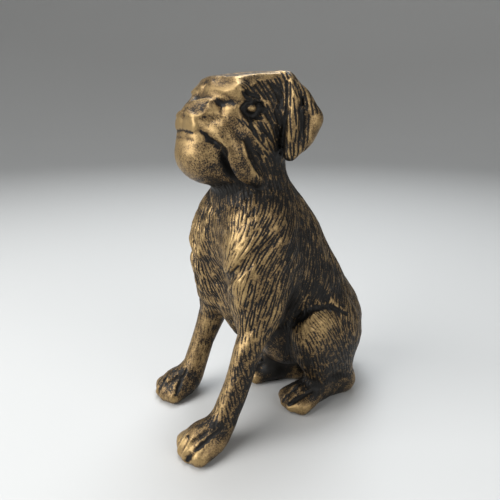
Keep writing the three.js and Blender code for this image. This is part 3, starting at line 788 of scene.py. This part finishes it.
def hair_cut(skin: Skin, hairs: Hairs) -> tuple[np.ndarray, np.ndarray]:
    """Works out the cut and the black paint of the hairs at each point of the skin.

    Args:
        skin: The skin.
        hairs: The hairs laid over it.

    Returns:
        Depths in millimetres, and blackness from 0 to 1.
    """
    tree = KDTree(len(hairs.places))
    for index, place in enumerate(hairs.places):
        tree.insert(place, index)
    tree.balance()
    found = [tree.find(point)[1:] for point in skin.points.tolist()]
    owners = np.array([index for index, _ in found])
    gaps = np.array([gap for _, gap in found])
    strength = np.clip(1 - (gaps / np.array(hairs.half_widths)[owners]) ** 2, 0, 1)
    return (np.array(hairs.depths)[owners] * strength ** 1.3,
            np.array(hairs.blacks)[owners] * np.clip(1.5 * strength ** 1.5, 0, 1))


RAYS = 22
RAY_REACH = 26.0
GROUND_REACH = 14


def hollowness(points: np.ndarray, normals: np.ndarray, quads: np.ndarray, step: int = 4) -> np.ndarray:
    """Casts rays to tell how shut in each place of the figure is.

    Args:
        points: Places on the skin.
        normals: Outward directions there.
        quads: The skin's faces.
        step: Only every so many points are tested; the rest take the nearest one's answer.

    Returns:
        0 in the open to 1 in a deep hollow, for each point.
    """
    tree = BVHTree.FromPolygons(points.tolist(), quads.tolist())
    rng = np.random.default_rng(3)
    rays = rng.normal(size=(RAYS, 3))
    rays /= np.linalg.norm(rays, axis=1, keepdims=True)
    tested = np.arange(0, len(points), step)
    shut = np.zeros(len(tested))
    for row, index in enumerate(tested):
        ways = rays + normals[index] * 1.02
        start = Vector(points[index] + normals[index] * 0.25)
        for way in ways:
            hit = tree.ray_cast(start, Vector(way), RAY_REACH)[3]
            if hit is not None:
                shut[row] += 1 - hit / RAY_REACH
        # Faces turned down near the ground count as more shut in: painted shade under the figure, along with
        # unbrushed black
        if points[index][2] < GROUND_REACH:
            shut[row] += RAYS * 0.2 * max(0.0, -normals[index][2])
    near = KDTree(len(tested))
    for row, index in enumerate(tested):
        near.insert(points[index], row)
    near.balance()
    owners = np.array([near.find(point)[1] for point in points.tolist()])
    return np.clip(shut[owners] / RAYS, 0, 1)


@dataclass(frozen=True)
class Finish:
    """Antique gold paint rubbed over black on cast iron."""

    name: str = "old_gold_iron"
    gold: Place = (0.39, 0.268, 0.122)
    brown: Place = (0.165, 0.108, 0.054)
    black: Place = (0.009, 0.008, 0.007)
    gold_metallic: float = 0.75
    gold_roughness: float = 0.42
    black_roughness: float = 0.45
    patch_scale: float = 240.0
    speckle_scale: float = 1400.0
    pit_scale: float = 1500.0
    grain_scale: float = 1100.0
    grain_depth: float = 0.00016
    grain_strength: float = 0.7
    specular_level: float = 0.2
    open_level: float = 0.6
    groove_share: float = 0.85
    pit_share: float = 0.35
    patch_share: float = 1.15
    speckle_share: float = 1.5
    black_to_brown: tuple[float, float] = (0.22, 0.5)
    brown_to_gold: tuple[float, float] = (0.4, 0.95)


class Shader:
    """Builds a procedural material node by node."""

    def __init__(self, name: str) -> None:
        """Makes an empty material.

        Args:
            name: The material's name.
        """
        self.material = bpy.data.materials.new(name)
        self.material.use_nodes = True
        self.tree = self.material.node_tree
        self.surface = self.tree.nodes["Principled BSDF"]
        self.where = self.tree.nodes.new("ShaderNodeTexCoord").outputs["Object"]

    def link(self, value: object, socket: bpy.types.NodeSocket) -> None:
        """Feeds a socket from another socket, or sets it.

        Args:
            value: A socket, a number or a colour.
            socket: The socket to feed.
        """
        if isinstance(value, bpy.types.NodeSocket):
            self.tree.links.new(value, socket)
        else:
            socket.default_value = value

    def math(self, operation: str, *values: object, clamp: bool = False) -> bpy.types.NodeSocket:
        """Adds a sum of one or more values.

        Args:
            operation: The kind of sum.
            values: Sockets or numbers.
            clamp: Whether the answer is kept from 0 to 1.

        Returns:
            The answer's socket.
        """
        node = self.tree.nodes.new("ShaderNodeMath")
        node.operation = operation
        node.use_clamp = clamp
        for value, socket in zip(values, node.inputs):
            self.link(value, socket)
        return node.outputs[0]

    def noise(self, scale: float, detail: float = 3.0, roughness: float = 0.6) -> bpy.types.NodeSocket:
        """Adds noise that stays with the figure.

        Args:
            scale: How fine, in waves to the metre.
            detail: How many finer layers.
            roughness: How strong the finer layers are.

        Returns:
            The noise's value socket, about 0 to 1.
        """
        node = self.tree.nodes.new("ShaderNodeTexNoise")
        self.link(self.where, node.inputs["Vector"])
        node.inputs["Scale"].default_value = scale
        node.inputs["Detail"].default_value = detail
        node.inputs["Roughness"].default_value = roughness
        return node.outputs["Fac"]

    def attribute(self, name: str) -> bpy.types.NodeSocket:
        """Reads a number that the mesh keeps at its points.

        Args:
            name: The attribute's name.

        Returns:
            Its socket.
        """
        node = self.tree.nodes.new("ShaderNodeAttribute")
        node.attribute_name = name
        return node.outputs["Fac"]

    def ramp(self, value: object, low: float, high: float) -> bpy.types.NodeSocket:
        """Maps a range smoothly to 0 to 1.

        Args:
            value: The socket to map.
            low: Where the range starts.
            high: Where it ends.

        Returns:
            The answer's socket.
        """
        node = self.tree.nodes.new("ShaderNodeMapRange")
        node.interpolation_type = "SMOOTHSTEP"
        for number, socket in zip((value, low, high), node.inputs):
            self.link(number, socket)
        return node.outputs["Result"]

    def mix(self, share: object, first: Place, second: object) -> bpy.types.NodeSocket:
        """Mixes two colours.

        Args:
            share: How much of the second.
            first: A colour or a socket.
            second: A colour or a socket.

        Returns:
            The mixed colour's socket.
        """
        node = self.tree.nodes.new("ShaderNodeMix")
        node.data_type = "RGBA"
        colours = [socket for socket in node.inputs if socket.type == "RGBA"]
        self.link(share, node.inputs[0])
        for colour, socket in zip((first, second), colours):
            self.link(colour if isinstance(colour, bpy.types.NodeSocket) else (*colour, 1.0), socket)
        return next(socket for socket in node.outputs if socket.type == "RGBA")


def gold_over_black(finish: Finish) -> bpy.types.Material:
    """Builds the paint: gold on what stands out, black in what lies deep, darkened and lightened by the
    painted shade and painted light in the tone attribute.

    Args:
        finish: Colours and scales.

    Returns:
        The material.
    """
    shader = Shader(finish.name)
    groove, tone, stipple = (shader.attribute(name) for name in ("groove", "tone", "stipple"))
    patches = shader.noise(finish.patch_scale, 4.0, 0.65)
    speckle = shader.noise(finish.speckle_scale, 3.0, 0.7)
    pits = shader.ramp(shader.noise(finish.pit_scale, 2.0, 0.5), 0.5, 0.62)
    # tone carries painted shade and painted light along with the rubbed and hollow paint
    level = shader.math("ADD", tone, finish.open_level)
    level = shader.math("MULTIPLY_ADD", groove, -finish.groove_share, level)
    level = shader.math("MULTIPLY_ADD", shader.math("MULTIPLY", pits, stipple), -finish.pit_share, level)
    for spots, strength in ((patches, finish.patch_share), (speckle, finish.speckle_share)):
        level = shader.math("MULTIPLY_ADD", shader.math("SUBTRACT", spots, 0.5), strength, level)
    share = shader.ramp(level, *finish.black_to_brown)
    gold = shader.mix(shader.ramp(level, *finish.brown_to_gold), finish.brown, finish.gold)
    surface = shader.surface.inputs
    shader.link(shader.mix(share, finish.black, gold), surface["Base Color"])
    shader.link(shader.math("MULTIPLY", share, finish.gold_metallic), surface["Metallic"])
    roughness = shader.math("MULTIPLY_ADD", share, finish.gold_roughness - finish.black_roughness,
                            finish.black_roughness)
    roughness = shader.math("MULTIPLY_ADD", shader.math("SUBTRACT", speckle, 0.5), 0.2, roughness, clamp=True)
    shader.link(roughness, surface["Roughness"])
    surface["Specular IOR Level"].default_value = finish.specular_level
    bump = shader.tree.nodes.new("ShaderNodeBump")
    bump.inputs["Strength"].default_value = finish.grain_strength
    bump.inputs["Distance"].default_value = finish.grain_depth
    shader.link(shader.noise(finish.grain_scale, 4.0, 0.7), bump.inputs["Height"])
    shader.link(bump.outputs["Normal"], surface["Normal"])
    return shader.material


@dataclass
class Figure:
    """The carved and painted dog."""

    voxel: float = 0.65
    relax_rounds: int = 16
    triangles: int = 190000
    crest_gold: float = 0.3
    # Hollows darken: painted shade, along with the black paint left in them
    hollow_shade_and_black: float = 0.95
    rub_gold: float = 0.22
    # Faces turned to the key light brighten: painted light, along with the side the gold was brushed from
    facing_gold: float = 0.16
    lit_and_brushed_from: Place = (-0.25, -0.75, 0.6)
    finish: Finish = field(default_factory=Finish)

    def build(self) -> bpy.types.Object:
        """Makes the dog from a copy of the casting's mesh.

        Returns:
            The finished piece.
        """
        piece = self._copy()
        coarse = self._read(piece)
        coarse.relax(self.relax_rounds)
        coarse.caulk(CAULKS)
        count = len(coarse.points)
        self._write(piece, coarse.points)
        self._modify(piece, "SUBSURF", levels=1, render_levels=1, quality=1, use_limit_surface=False)
        skin = self._read(piece)
        carver = Carver(skin)
        for facet in FACETS:
            carver.plane(facet)
        carver.cut(MARKS)
        carver.cut(TOES)
        normals = skin.normals(3)
        hollow = hollowness(skin.points[:count], normals[:count], coarse.quads)
        crest = self._crest(coarse, skin.points[:count], normals[:count])
        hairs = Coat(skin.points[:count], normals[:count]).grow()
        depth, black = hair_cut(skin, hairs)
        groove = np.maximum(carver.black, black)
        skin.points -= normals * depth[:, None]
        self._keep_inside(skin.points)
        self._write(piece, skin.points)
        tree = KDTree(count)
        for index, point in enumerate(skin.points[:count].tolist()):
            tree.insert(point, index)
        tree.balance()
        owners = np.array([tree.find(point)[1] for point in skin.points.tolist()])
        shadow = np.zeros(len(skin.points))
        for zone in SHADOWS:
            shadow += zone.amount * zone_share(skin.points, zone.middle, zone.reach, zone.side)
        # Painted light on faces turned to the key light, along with the side the gold was brushed from
        facing = skin.normals(6) @ np.array(self.lit_and_brushed_from)
        tone = self.crest_gold * skin.smoothed(crest[owners], 3)
        # Painted shade in hollows and under the figure, along with the black paint left there
        tone -= self.hollow_shade_and_black * skin.smoothed(hollow[owners], 8)
        tone += self.rub_gold * carver.rub - shadow + self.facing_gold * facing
        values = {"groove": skin.smoothed(groove, 1), "tone": tone, "stipple": self._stipple(skin.points)}
        for name, numbers in values.items():
            attribute = piece.data.attributes.new(name, "FLOAT", "POINT")
            attribute.data.foreach_set("value", np.ascontiguousarray(numbers, dtype=np.float32))
        LOG.info("tone %s", np.percentile(tone, (5, 25, 50, 75, 95)).round(2))
        self._modify(piece, "DECIMATE", ratio=self.triangles / (2 * len(skin.quads)))
        piece.data.polygons.foreach_set("use_smooth", [True] * len(piece.data.polygons))
        piece.data.materials.clear()
        piece.data.materials.append(gold_over_black(self.finish))
        LOG.info("%d triangles", sum(len(face.vertices) - 2 for face in piece.data.polygons))
        return piece

    def _stipple(self, points: np.ndarray) -> np.ndarray:
        """Tells where the skin is pitted rather than combed: muzzle sides, lips and chin.

        Args:
            points: Places in layout millimetres.

        Returns:
            0 to 1 for each point.
        """
        zones = (((16, 13, 146), (9, 9, 8)), ((17, 20, 134), (8, 10, 14)), ((9, 10, 132), (14, 12, 12)))
        return np.max([zone_share(points, middle, reach, Side.BOTH) for middle, reach in zones], axis=0)

    def _copy(self) -> bpy.types.Object:
        """Copies the casting's mesh and lays an even net of quads over it.

        Returns:
            The new piece.
        """
        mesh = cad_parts[CASTING].data.copy()
        piece = bpy.data.objects.new("dog_carved", mesh)
        bpy.context.scene.collection.objects.link(piece)
        bpy.ops.object.select_all(action="DESELECT")
        piece.select_set(True)
        bpy.context.view_layer.objects.active = piece
        bpy.ops.object.mode_set(mode="EDIT")
        bpy.ops.mesh.select_all(action="SELECT")
        bpy.ops.mesh.remove_doubles(threshold=1e-6)
        bpy.ops.object.mode_set(mode="OBJECT")
        mesh.remesh_voxel_size = self.voxel * MM
        mesh.remesh_voxel_adaptivity = 0
        bpy.ops.object.voxel_remesh()
        return piece

    def _modify(self, piece: bpy.types.Object, kind: str, **settings: object) -> None:
        """Adds a modifier and applies it.

        Args:
            piece: The piece.
            kind: The modifier's kind.
            settings: Its settings.
        """
        modifier = piece.modifiers.new(kind.lower(), kind)
        for name, value in settings.items():
            setattr(modifier, name, value)
        bpy.ops.object.modifier_apply(modifier=modifier.name)

    def _read(self, piece: bpy.types.Object) -> Skin:
        """Takes a piece's mesh into arrays.

        Args:
            piece: The piece.

        Returns:
            The skin.
        """
        mesh = piece.data
        points = np.empty(len(mesh.vertices) * 3)
        mesh.vertices.foreach_get("co", points)
        corners = np.empty(len(mesh.loops), dtype=np.int32)
        mesh.loops.foreach_get("vertex_index", corners)
        edges = np.empty(len(mesh.edges) * 2, dtype=np.int32)
        mesh.edges.foreach_get("vertices", edges)
        return Skin(points.reshape(-1, 3) / MM + LAYOUT_SHIFT, corners.reshape(-1, 4), edges.reshape(-1, 2))

    def _write(self, piece: bpy.types.Object, points: np.ndarray) -> None:
        """Puts points back into a piece's mesh.

        Args:
            piece: The piece.
            points: Places in layout millimetres.
        """
        piece.data.vertices.foreach_set("co", ((points - LAYOUT_SHIFT) * MM).ravel())
        piece.data.update()

    def _crest(self, coarse: Skin, points: np.ndarray, normals: np.ndarray) -> np.ndarray:
        """Tells where the form stands out and where it sinks.

        Args:
            coarse: The even net, for its neighbours.
            points: The carved places of its points.
            normals: Outward directions there.

        Returns:
            About -1 in a dip to 1 on an edge, for each point.
        """
        evened = coarse.smoothed(points, 10)
        return np.clip(np.sum((points - evened) * normals, axis=1) / 0.25, -1, 1)

    def _keep_inside(self, points: np.ndarray) -> None:
        """Keeps the carved skin inside the casting's outer box.

        Args:
            points: Places in layout millimetres.
        """
        low = np.array(low_before) / MM + LAYOUT_SHIFT + 0.005
        high = np.array(high_before) / MM + LAYOUT_SHIFT - 0.005
        low[2] = 0
        np.clip(points, low, high, out=points)


@dataclass(frozen=True)
class AreaLight:
    """A soft light that shines at the figure's middle."""

    name: str
    place: Place
    size: float
    power: float
    colour: Place = (1.0, 1.0, 1.0)

    def put_up(self) -> None:
        """Adds the light to the scene."""
        bpy.ops.object.light_add(type="AREA", location=self.place)
        lamp = bpy.context.object
        lamp.name = self.name
        lamp.data.shape = "DISK"
        lamp.data.size = self.size
        lamp.data.energy = self.power
        lamp.data.color = self.colour
        aim = Vector((0, 0, 0.08)) - Vector(self.place)
        lamp.rotation_euler = aim.to_track_quat("-Z", "Y").to_euler()


@dataclass(frozen=True)
class Studio:
    """A plain pale floor that curves up all round, soft light and the camera."""

    camera: Place = (0.20245, -0.14259, 0.1572)
    azimuth: float = 57.0
    pitch: float = 16.7
    lens: float = 36.0
    floor_colour: Place = (0.5, 0.5, 0.49)
    world_colour: Place = (0.62, 0.65, 0.70)
    world_strength: float = 0.14
    lights: tuple[AreaLight, ...] = (
        AreaLight("key", (-0.06, -0.60, 0.44), 0.65, 5.8),
        AreaLight("fill", (0.60, 0.12, 0.35), 0.5, 1.6),
        AreaLight("top", (-0.30, 0.25, 0.85), 0.5, 5.0, (0.88, 0.94, 1.0)),
        AreaLight("wall", (-0.20, -0.10, 1.30), 0.8, 9.0),
    )

    def put_up(self) -> None:
        """Adds floor, world, lights and camera."""
        bpy.context.scene.view_settings.view_transform = "Standard"
        floor = self._bowl()
        shader = Shader("pale_floor")
        shader.surface.inputs["Base Color"].default_value = (*self.floor_colour, 1.0)
        shader.surface.inputs["Roughness"].default_value = 0.6
        floor.data.materials.append(shader.material)
        world = bpy.context.scene.world or bpy.data.worlds.new("world")
        bpy.context.scene.world = world
        world.use_nodes = True
        background = world.node_tree.nodes["Background"]
        background.inputs["Color"].default_value = (*self.world_colour, 1.0)
        background.inputs["Strength"].default_value = self.world_strength
        for light in self.lights:
            light.put_up()
        self._set_camera()

    def _bowl(self) -> bpy.types.Object:
        """Makes a round floor that curves up into a wall all the way round.

        Returns:
            The floor.
        """
        flat, bend, wall = 1.1, 0.6, 1.2
        bpy.ops.mesh.primitive_grid_add(x_subdivisions=96, y_subdivisions=48, size=1.0)
        floor = bpy.context.object
        floor.name = "floor"
        length = flat + bend * math.pi / 2 + wall
        for vertex in floor.data.vertices:
            turn = (vertex.co.x + 0.5) * math.tau
            along = (vertex.co.y + 0.5) * length
            angle = min(max((along - flat) / bend, 0.0), math.pi / 2)
            radius = min(along, flat) + bend * math.sin(angle)
            height = bend * (1 - math.cos(angle)) + max(along - flat - bend * math.pi / 2, 0.0)
            vertex.co = (radius * math.cos(turn), radius * math.sin(turn), height)
        bpy.ops.object.mode_set(mode="EDIT")
        bpy.ops.mesh.select_all(action="SELECT")
        bpy.ops.mesh.remove_doubles(threshold=1e-5)
        bpy.ops.object.mode_set(mode="OBJECT")
        floor.data.polygons.foreach_set("use_smooth", [True] * len(floor.data.polygons))
        return floor

    def _set_camera(self) -> None:
        """Adds the camera at the photograph's viewing angle."""
        bpy.ops.object.camera_add(location=self.camera)
        camera = bpy.context.object
        camera.data.lens = self.lens
        camera.data.sensor_width = 36.0
        camera.data.clip_start = 0.01
        turn, dip = math.radians(self.azimuth), math.radians(self.pitch)
        way = Vector((-math.sin(turn) * math.cos(dip), math.cos(turn) * math.cos(dip), -math.sin(dip)))
        camera.rotation_euler = way.to_track_quat("-Z", "Y").to_euler()
        bpy.context.scene.camera = camera


def main() -> None:
    """Builds the dressed figure and its studio."""
    logging.basicConfig(level=logging.INFO, format="%(name)s %(message)s")
    piece = Figure().build()
    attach(piece, "root")
    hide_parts(CASTING)
    LOG.info("dressed %s", piece.name)
    Studio().put_up()


if __name__ == "__main__":
    main()
